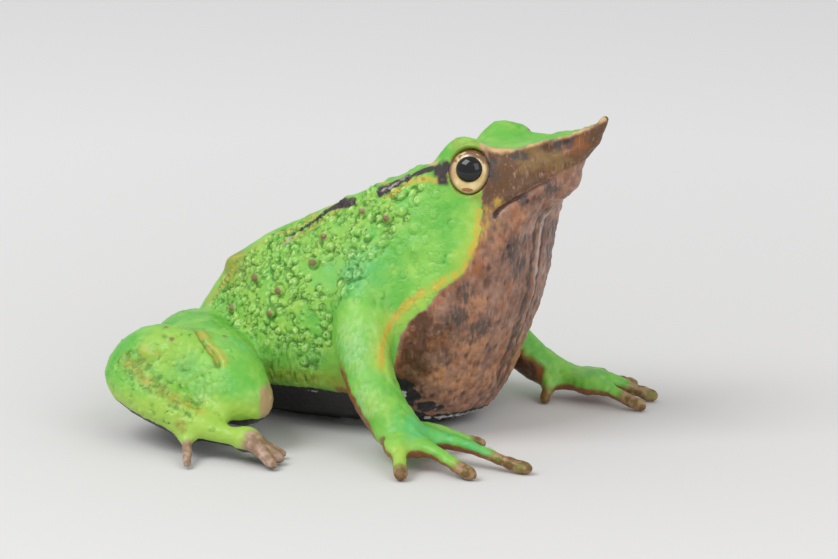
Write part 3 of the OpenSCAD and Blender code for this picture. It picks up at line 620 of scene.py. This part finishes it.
coat("soot", dabs([(10.2, 14.9, 6.6, 2.4, 1.0), (12.0, 12.8, 4.8, 1.8, 1.0), (9.4, 16.4, 9.0, 1.7, 0.9),
                   (13.0, 11.0, 4.0, 1.5, 0.9)], on_trunk))
coat("bare", dabs([(9.2, 15.9, 7.6, 0.8, 0.9), (12.6, 11.2, 3.6, 0.9, 0.9),
                   (-6.0, 16.4, 6.2, 1.6, 0.45)], on_trunk))
coat("bare", 0.75 * on_trunk * bell(z - 1.9, 0.5) * rise(8, 10, x))
# A white line along the lowest edge of the belly plate.
coat("bare", on_belly * (z < 0.6) * rise(-6, -4, x) * (1 - rise(4, 6, x)))

# Wiped paint stays in the hollows and leaves the tops of the granules pale, and the same height lays painted
# shade in the hollows and painted highlights on the tops: 0.5 is level skin.
coat("relief", np.clip(0.5 + (carved - broad_forms) / (0.7 + 0.3 * on_legs), 0, 1))

shift += outward * carved[:, None]
moved = place + shift
moved[:, 2] = np.maximum(moved[:, 2], 0)
skin.vertices.foreach_set("co", (moved * MM).ravel())
skin.update()
outward = read_points("normal")
for name, amount in coats.items():
    skin.attributes.new(name, "FLOAT", "POINT").data.foreach_set("value", amount.astype(np.float32))


# Vinyl paint. The mouldings are soft PVC, sprayed lime green and finished by hand with thin acrylic paint,
# which dries satin: broad soft highlights, darker paint lying in the hollows, and brush strokes in the brown.
# The hollows also get painted shade, and the tops of the granules painted highlights.
def srgb(code):
    """An sRGB hex colour as the linear colour that a shader takes."""
    channels = [int(code[i:i + 2], 16) / 255 for i in (1, 3, 5)]
    return (*[c / 12.92 if c <= 0.04045 else ((c + 0.055) / 1.055) ** 2.4 for c in channels], 1)


def add(tree, kind, inputs=None, **settings):
    """Adds a shader node with its settings. Each input is given a value or another node's output."""
    made = tree.nodes.new("ShaderNode" + kind)
    for key, value in settings.items():
        setattr(made, key, value)
    for key, value in (inputs or {}).items():
        if isinstance(value, bpy.types.NodeSocket):
            tree.links.new(value, made.inputs[key])
        else:
            made.inputs[key].default_value = value
    return made


# The size of each pattern's lumps in mm, its detail, and how far it is drawn out upwards. A real brush leaves
# lines about 0.1 mm apart, too fine to show, so the strokes and hairs here are a few times as coarse.
NOISES = {
    "broad": (6.0, 3, 1), "blotches": (2.4, 4, 1), "ragged": (1.1, 4, 1),
    "strokes": (0.5, 3, 4), "hairs": (0.35, 2, 6), "fine": (0.3, 2, 1), "clouds": (3.3, 4, 1.5),
}
GREEN, BROWN, TOES, FINGERS, CURL_GREEN = "#62B53F", "#82604E", "#8C6458", "#6E4A22", "#44802B"
# Each layer of paint: its colour, where it lies, the noise that breaks it up and how much, the values at
# which it starts and is full, and how well it covers. It lies where a coat is, or where a noise is high.
GREEN_LAYERS = [
    ("#85C64F", "broad", None, 0, 0.35, 0.65, 1.0),
    ("#9FD05C", "blotches", None, 0, 0.5, 0.75, 0.6),
    ("#AACB4E", "lime", "blotches", 0.3, 0.05, 0.95, 0.75),
    ("#4ABA74", "teal", "blotches", 0.4, 0.05, 0.95, 0.75),
    ("#93932E", "olive_and_shade", "ragged", 0.5, 0.1, 0.9, 0.75),
    # Darker green in the hollows and paler green on the tops: wiped paint, and painted shade and painted
    # highlights.
    ("#447D24", "relief", None, 0, 0.44, 0.24, 0.75),
    ("#C4E68C", "relief", None, 0, 0.6, 0.85, 0.6),
    ("#CFE6B4", "pale_highlight", "strokes", 0.7, 0.1, 0.9, 0.28),
    ("#B9AE42", "honey", "ragged", 0.6, 0.1, 0.9, 0.85),
    ("#CDAE3C", "ochre", "ragged", 0.6, 0.1, 0.9, 0.85),
]
BROWN_LAYERS = [
    ("#AC7F67", "ragged", None, 0, 0.35, 0.7, 1.0),
    ("#A3643C", "blotches", None, 0, 0.45, 0.7, 0.8),
    ("#5E4034", "broad", None, 0, 0.48, 0.7, 0.55),
    ("#BC8F7A", "clouds", None, 0, 0.5, 0.72, 0.6),
    ("#C48A5E", "clay", "ragged", 0.6, 0.1, 0.9, 0.75),
    ("#5E3F22", "bark", "strokes", 0.5, 0.1, 0.9, 0.95),
    ("#93743A", "fawn", "ragged", 0.5, 0.1, 0.9, 0.6),
    ("#9A5A2B", "rust", "ragged", 0.5, 0.1, 0.9, 0.8),
    ("#C39B85", "strokes", None, 0, 0.56, 0.78, 0.55),
    ("#51382F", "hairs", None, 0, 0.54, 0.74, 0.4),
    ("#4D2A0E", "dark_umber_shade", "ragged", 0.7, 0.15, 0.85, 0.88),
    ("#423D3C", "slate_and_keel_shade", "strokes", 0.8, 0.15, 0.9, 0.85),
    ("#B58A6C", "hairs", None, 0, 0.6, 0.75, 0.3),
    # Darker brown in the hollows: paint lying there, and painted shade as well.
    ("#452C22", "relief", None, 0, 0.46, 0.15, 0.8),
]
TOE_LAYERS = [("#C09A90", "ragged", None, 0, 0.35, 0.7, 1.0)]
FINGER_LAYERS = [
    ("#AB8862", "ragged", None, 0, 0.4, 0.65, 0.9),
    ("#7E8A34", "blotches", None, 0, 0.5, 0.65, 0.5),
]
LAST_LAYERS = [
    ("brown", "umber", "ragged", 0.5, 0.2, 0.75, 1.0),
    ("#BF9A3E", "gold", "strokes", 0.8, 0.1, 0.9, 0.8),
    ("#8A4A2A", "russet", "ragged", 0.35, 0.05, 0.95, 0.95),
    ("#3B2617", "shade", "ragged", 0.4, 0.1, 0.9, 0.85),
    ("toes", "flesh", "ragged", 0.3, 0.05, 0.95, 0.92),
    ("fingers", "finger", "ragged", 0.3, 0.05, 0.95, 0.95),
    ("#86654A", "wart", "ragged", 0.3, 0.1, 0.9, 0.9),
    ("#BE9A78", "tan", "ragged", 0.2, 0.1, 0.9, 0.9),
    ("#D6B07C", "sand", "ragged", 0.35, 0.15, 0.85, 0.9),
    ("#3A2F2F", "stripe", "ragged", 0.35, 0.15, 0.8, 1.0),
    ("#B7AFA8", "scratch_and_keel_highlight", "strokes", 0.7, 0.25, 0.75, 0.7),
    ("#3A2319", "mouth_line", "fine", 0.25, 0.15, 0.85, 0.95),
    ("#1F1D1E", "soot", "ragged", 0.3, 0.4, 0.6, 1.0),
    ("#D9DAD6", "bare", "ragged", 0.7, 0.4, 0.6, 1.0),
]
# The fine dark green curls on the granules are paint lying in their grooves, and painted shade as well.
CURL_SPACING = 1.3  # millimetres between the fine curls that are drawn in dark green on the granules
CURL_TIGHTNESS, CURL_DARKNESS = 7.5, 0.6
STROKE_DEPTH, GRIT_DEPTH, CURL_DEPTH = 0.12 * MM, 0.08 * MM, 0.12 * MM
SHINIEST, DULLEST = 0.34, 0.48  # roughness of thin acrylic paint on vinyl, where it is thick and where thin


def painted_vinyl():
    """Thin acrylic paint on soft vinyl, sprayed and then brushed."""
    material = bpy.data.materials.new("hand_painted_vinyl")
    material.use_nodes = True
    tree = material.node_tree
    tree.nodes.clear()
    where = add(tree, "TexCoord").outputs["Object"]
    noises = {}
    for name, (size, detail, drawn) in NOISES.items():
        scale = 1 / MM / size
        lumps = add(tree, "Mapping", {"Vector": where, "Scale": (scale, scale, scale / drawn)}).outputs[0]
        lumps = add(tree, "TexNoise", {"Vector": lumps, "Scale": 1, "Detail": detail})
        noises[name] = lumps.outputs["Fac"]

    def brushed(paint, layers, mixed=None):
        """Brushes layers of paint over one another, each in a colour code or one of the mixed paints."""
        for colour, lies, breaks, broken, start, full, covers in layers:
            if lies in noises:
                amount = noises[lies]
            else:
                amount = add(tree, "Attribute", attribute_name=lies).outputs["Fac"]
            if breaks:
                load = add(tree, "MapRange", {"Value": noises[breaks], "From Min": 0.3, "From Max": 0.7,
                                              "To Min": 1 - broken, "To Max": 1 + broken})
                amount = add(tree, "Math", {0: amount, 1: load.outputs[0]}, operation="MULTIPLY").outputs[0]
            cover = add(tree, "MapRange", {
                "Value": amount, "From Min": start, "From Max": full, "To Max": covers,
            }, interpolation_type="SMOOTHSTEP")
            over = mixed[colour] if mixed and colour in mixed else srgb(colour)
            paint = add(tree, "Mix", {0: cover.outputs[0], 6: paint, 7: over}, data_type="RGBA").outputs[2]
        return paint

    green = brushed(srgb(GREEN), GREEN_LAYERS)
    cells = add(tree, "Mapping", {"Vector": where, "Scale": (1 / MM / CURL_SPACING,) * 3})
    cells = add(tree, "TexVoronoi", {"Vector": cells.outputs[0], "Scale": 1})
    rings = add(tree, "Math", {0: cells.outputs["Distance"], 1: CURL_TIGHTNESS}, operation="MULTIPLY")
    rings = add(tree, "Math", {0: rings.outputs[0]}, operation="COSINE")
    drawn = add(tree, "MapRange", {"Value": rings.outputs[0], "From Min": -0.5, "From Max": -0.95})
    open_curl = add(tree, "MapRange", {"Value": noises["ragged"], "From Min": 0.45, "From Max": 0.55})
    drawn = add(tree, "Math", {0: drawn.outputs[0], 1: open_curl.outputs[0]}, operation="MULTIPLY")
    granules = add(tree, "Attribute", attribute_name="granular").outputs["Fac"]
    curls = add(tree, "Math", {0: drawn.outputs[0], 1: granules}, operation="MULTIPLY").outputs[0]
    dark = add(tree, "Math", {0: curls, 1: CURL_DARKNESS}, operation="MULTIPLY").outputs[0]
    green = add(tree, "Mix", {0: dark, 6: green, 7: srgb(CURL_GREEN)}, data_type="RGBA").outputs[2]
    mixed = {"brown": brushed(srgb(BROWN), BROWN_LAYERS),
             "toes": brushed(srgb(TOES), TOE_LAYERS),
             "fingers": brushed(srgb(FINGERS), FINGER_LAYERS)}
    paint = brushed(green, LAST_LAYERS, mixed)
    bump = add(tree, "Bump", {"Strength": 0.5, "Distance": STROKE_DEPTH, "Height": noises["ragged"]})
    bump = add(tree, "Bump", {
        "Strength": 0.5, "Distance": GRIT_DEPTH, "Height": noises["fine"], "Normal": bump.outputs[0]})
    bump = add(tree, "Bump", {
        "Strength": 0.8, "Distance": CURL_DEPTH, "Height": curls, "Normal": bump.outputs[0]}, invert=True)
    shine = add(tree, "MapRange", {"Value": noises["blotches"], "From Min": 0.3, "From Max": 0.7,
                                   "To Min": SHINIEST, "To Max": DULLEST})
    shader = add(tree, "BsdfPrincipled", {
        "Base Color": paint, "Roughness": shine.outputs[0], "IOR": 1.5, "Normal": bump.outputs[0]})
    add(tree, "OutputMaterial", {"Surface": shader.outputs["BSDF"]})
    return material


vinyl = painted_vinyl()


# Cutting up. The back shell, the belly plate and the four limbs are cut out of the sculpt where they meet,
# and each is moulded in vinyl. Their cut ends are closed, and they keep the sculpt's own shading along the
# cut, so that the glued joints hardly show. The belly plate is plain and black.
JOINT_DEPTH = 0.8 * MM  # how far the closed end of a piece lies below the skin


def cut_out(node):
    """The part of the sculpt that belongs to one moulding, as a closed piece."""
    shape = bmesh.new()
    shape.from_mesh(skin)
    number = shape.verts.layers.int.new("number")
    for v, i in zip(shape.verts, range(count)):
        v[number] = i
    mine = MOULDINGS.index(node)
    others = [f for f in shape.faces if owner_of_face[f.index] != mine]
    bmesh.ops.delete(shape, geom=others, context="FACES")
    sunk = bmesh.ops.extrude_edge_only(shape, edges=[e for e in shape.edges if e.is_boundary])["geom"]
    for v in sunk:
        if isinstance(v, bmesh.types.BMVert):
            v.co -= Vector(outward[v[number]]) * JOINT_DEPTH
    caps = bmesh.ops.holes_fill(shape, edges=[e for e in shape.edges if e.is_boundary], sides=0)["faces"]
    bmesh.ops.triangulate(shape, faces=caps)
    bmesh.ops.recalc_face_normals(shape, faces=shape.faces)
    mesh = bpy.data.meshes.new(node)
    source = [v[number] for v in shape.verts]
    shape.to_mesh(mesh)
    shape.free()
    mesh.shade_smooth()
    mesh.normals_split_custom_set_from_vertices(outward[source].tolist())
    moulding = bpy.data.objects.new(node + "_painted", mesh)
    scene.collection.objects.link(moulding)
    moulding.data.materials.append(vinyl)
    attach(moulding, "root")
    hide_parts(node)
    return moulding


corners = np.array([f.vertices[:] for f in skin.polygons])
owner_of_face = gaps[corners].mean(axis=1).argmin(axis=1)
for node in MOULDINGS:
    cut_out(node)

# Eyes. Each is a bead of hard plastic, whose stem is glued in its socket. It is painted cream with brown
# specks, and a round black dome stands in its middle, all under gloss varnish.
BEAD = [(0.0, 3.2), (2.0, 3.2), (2.6, 2.98), (3.1, 2.55), (3.5, 1.8), (3.7, 0.8),  # radius and height, in mm
        (3.4, -0.6), (2.4, -1.8), (0.0, -2.4)]
PUPIL_RADIUS, PUPIL_HEIGHT, PUPIL_PLACE = 2.05, 1.1, (-0.15, 0.3, 3.15)
CREAM, PALE_CREAM, EYE_SHADE, SPECKS, FLECK, RIM_BROWN_AND_SHADE = (
    "#D8B670", "#EED9A4", "#A87450", "#6B3F28", "#A4582E", "#5B4026")


def eye_paint():
    """Cream enamel with brown specks above and an orange fleck below, under varnish with sharp lights."""
    material = bpy.data.materials.new("speckled_cream_enamel")
    material.use_nodes = True
    tree = material.node_tree
    shader = tree.nodes["Principled BSDF"]
    spot = add(tree, "Attribute", attribute_name="eye_spot")
    axes = add(tree, "SeparateXYZ", {"Vector": spot.outputs["Vector"]})
    where = add(tree, "TexCoord").outputs["Object"]
    speck = add(tree, "TexNoise", {"Vector": where, "Scale": 1 / (0.9 * MM), "Detail": 3}).outputs["Fac"]
    cloud = add(tree, "TexNoise", {"Vector": where, "Scale": 1 / (2.2 * MM), "Detail": 2}).outputs["Fac"]

    def over(under, colour, value, low, high, top=1.0):
        """A colour laid where value lies between low and high."""
        cover = add(tree, "MapRange", {"Value": value, "From Min": low, "From Max": high, "To Max": top})
        return add(tree, "Mix", {0: cover.outputs[0], 6: under, 7: srgb(colour)}, data_type="RGBA").outputs[2]

    paint = over(srgb(CREAM), PALE_CREAM, cloud, 0.4, 0.62)
    paint = over(paint, EYE_SHADE, axes.outputs["X"], 1.7, 3.0, 0.85)
    high_specks = add(tree, "Math", {0: axes.outputs["Y"], 1: 0.14, 2: speck}, operation="MULTIPLY_ADD")
    paint = over(paint, SPECKS, high_specks.outputs[0], 0.71, 0.84, 0.9)
    fleck = add(tree, "VectorMath", {0: spot.outputs["Vector"], 1: (0.0, -2.75, 0)}, operation="SUBTRACT")
    fleck = add(tree, "VectorMath", {0: fleck.outputs[0], 1: (1.0, 3.2, 0)}, operation="MULTIPLY")
    fleck = add(tree, "VectorMath", {0: fleck.outputs[0]}, operation="LENGTH")
    paint = over(paint, FLECK, fleck.outputs["Value"], 1.05, 0.75, 0.9)
    iris = (1 / IRIS_HALF_WIDTH, 1 / IRIS_HALF_HEIGHT, 0)
    rim = add(tree, "VectorMath", {0: spot.outputs["Vector"], 1: iris}, operation="MULTIPLY")
    rim = add(tree, "VectorMath", {0: rim.outputs[0]}, operation="LENGTH")
    # A dark brown rim round the iris: a painted ring, and painted shade where the bead sits in its socket.
    paint = over(paint, RIM_BROWN_AND_SHADE, rim.outputs["Value"], 0.86, 1.0, 0.9)
    tree.links.new(paint, shader.inputs["Base Color"])
    shader.inputs["Roughness"].default_value = 0.3
    shader.inputs["Coat Weight"].default_value = 0.6
    shader.inputs["Coat Roughness"].default_value = 0.08
    return material


def pupil_varnish():
    """Black enamel under gloss varnish, a dark mirror with the faint unevenness of a brushed coat."""
    material = bpy.data.materials.new("black_gloss_varnish")
    material.use_nodes = True
    tree = material.node_tree
    shader = tree.nodes["Principled BSDF"]
    where = add(tree, "TexCoord").outputs["Object"]
    cloud = add(tree, "TexNoise", {"Vector": where, "Scale": 1 / (1.5 * MM)}).outputs["Fac"]
    paint = add(tree, "Mix", {0: cloud, 6: srgb("#060606"), 7: srgb("#141516")}, data_type="RGBA").outputs[2]
    tree.links.new(paint, shader.inputs["Base Color"])
    bump = add(tree, "Bump", {"Strength": 0.1, "Distance": 0.05 * MM, "Height": cloud})
    tree.links.new(bump.outputs["Normal"], shader.inputs["Normal"])
    shader.inputs["Roughness"].default_value = 0.08
    return material


eye_materials = [eye_paint(), pupil_varnish()]
for node, hand in (("right_eye", -1), ("left_eye", 1)):
    shape = bmesh.new()
    verts = [shape.verts.new((r, 0, h)) for r, h in BEAD]
    profile = [shape.edges.new(pair) for pair in zip(verts, verts[1:])]
    bmesh.ops.spin(shape, geom=verts + profile, cent=(0, 0, 0), axis=(0, 0, 1), angle=2 * math.pi, steps=64,
                   use_merge=True)
    bmesh.ops.remove_doubles(shape, verts=shape.verts, dist=0.001)
    bmesh.ops.subdivide_edges(shape, edges=shape.edges, cuts=2, use_grid_fill=True)
    dome = bmesh.ops.create_uvsphere(shape, u_segments=48, v_segments=24, radius=PUPIL_RADIUS)["verts"]
    bmesh.ops.scale(shape, vec=(1, 0.96, PUPIL_HEIGHT / PUPIL_RADIUS), verts=dome)
    bmesh.ops.translate(shape, vec=PUPIL_PLACE, verts=dome)
    for f in shape.faces:
        f.material_index = int(all(v in dome for v in f.verts))
    spots = [c for v in shape.verts for c in v.co]
    turned = [eye_across * [1, hand, 1], eye_up * [1, hand, 1], eye_axis * [1, hand, 1]]
    axes = Matrix(turned).transposed().to_4x4()
    shape.transform(Matrix.Scale(MM, 4) @ Matrix.Translation(Vector(eye_centre * [1, hand, 1])) @ axes)
    shape.normal_update()
    bmesh.ops.recalc_face_normals(shape, faces=shape.faces)
    eye = bpy.data.objects.new(node + "_bead", bpy.data.meshes.new(node))
    shape.to_mesh(eye.data)
    shape.free()
    eye.data.shade_smooth()
    eye.data.attributes.new("eye_spot", "FLOAT_VECTOR", "POINT").data.foreach_set("vector", spots)
    scene.collection.objects.link(eye)
    for material in eye_materials:
        eye.data.materials.append(material)
    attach(eye, "root")
    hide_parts(node)

# Stage and light. The figurine stands on a sheet of pale grey paper, so wide that no horizon shows, under
# soft boxes at a plain level. Paper has no gloss, so only the soft shadow shows on it. Its grey is painted
# lighter away from the figurine, painted light that makes up for the soft boxes' fall-off.
FLOOR_RADIUS, NEAR_GREY, FAR_GREY = 3, "#DBDAD9", "#E9E9E9"
table = bmesh.new()
bmesh.ops.create_circle(table, cap_ends=True, segments=96, radius=FLOOR_RADIUS)
floor = bpy.data.objects.new("floor", bpy.data.meshes.new("floor"))
table.to_mesh(floor.data)
table.free()
scene.collection.objects.link(floor)
paper = bpy.data.materials.new("grey_paper")
paper.use_nodes = True
tree = paper.node_tree
away = add(tree, "VectorMath", {0: add(tree, "TexCoord").outputs["Object"]}, operation="LENGTH")
# Painted light: the grey turns lighter with distance from the figurine.
painted_falloff = add(tree, "MapRange", {"Value": away.outputs["Value"], "From Min": 0.04, "From Max": 0.22})
tone = add(tree, "Mix", {0: painted_falloff.outputs[0], 6: srgb(NEAR_GREY), 7: srgb(FAR_GREY)}, data_type="RGBA")
tree.links.new(tone.outputs[2], tree.nodes["Principled BSDF"].inputs["Base Color"])
tree.nodes["Principled BSDF"].inputs["Roughness"].default_value = 0.9
floor.data.materials.append(paper)

world = bpy.data.worlds.new("world")
scene.world = world
world.use_nodes = True
world.node_tree.nodes["Background"].inputs["Color"].default_value = (0.6, 0.6, 0.6, 1)


def soft_box(name, width, watts, at):
    """A square soft box that looks at the figurine."""
    lamp = bpy.data.objects.new(name, bpy.data.lights.new(name, "AREA"))
    scene.collection.objects.link(lamp)
    lamp.data.size = width
    lamp.data.energy = watts
    lamp.location = at
    lamp.rotation_euler = (lamp.location - AIM).to_track_quat("Z", "Y").to_euler()


soft_box("key_light", 0.5, 4.0, (-0.35, -0.45, 0.75))
soft_box("fill_light", 0.6, 2.0, (0.6, -0.4, 0.5))
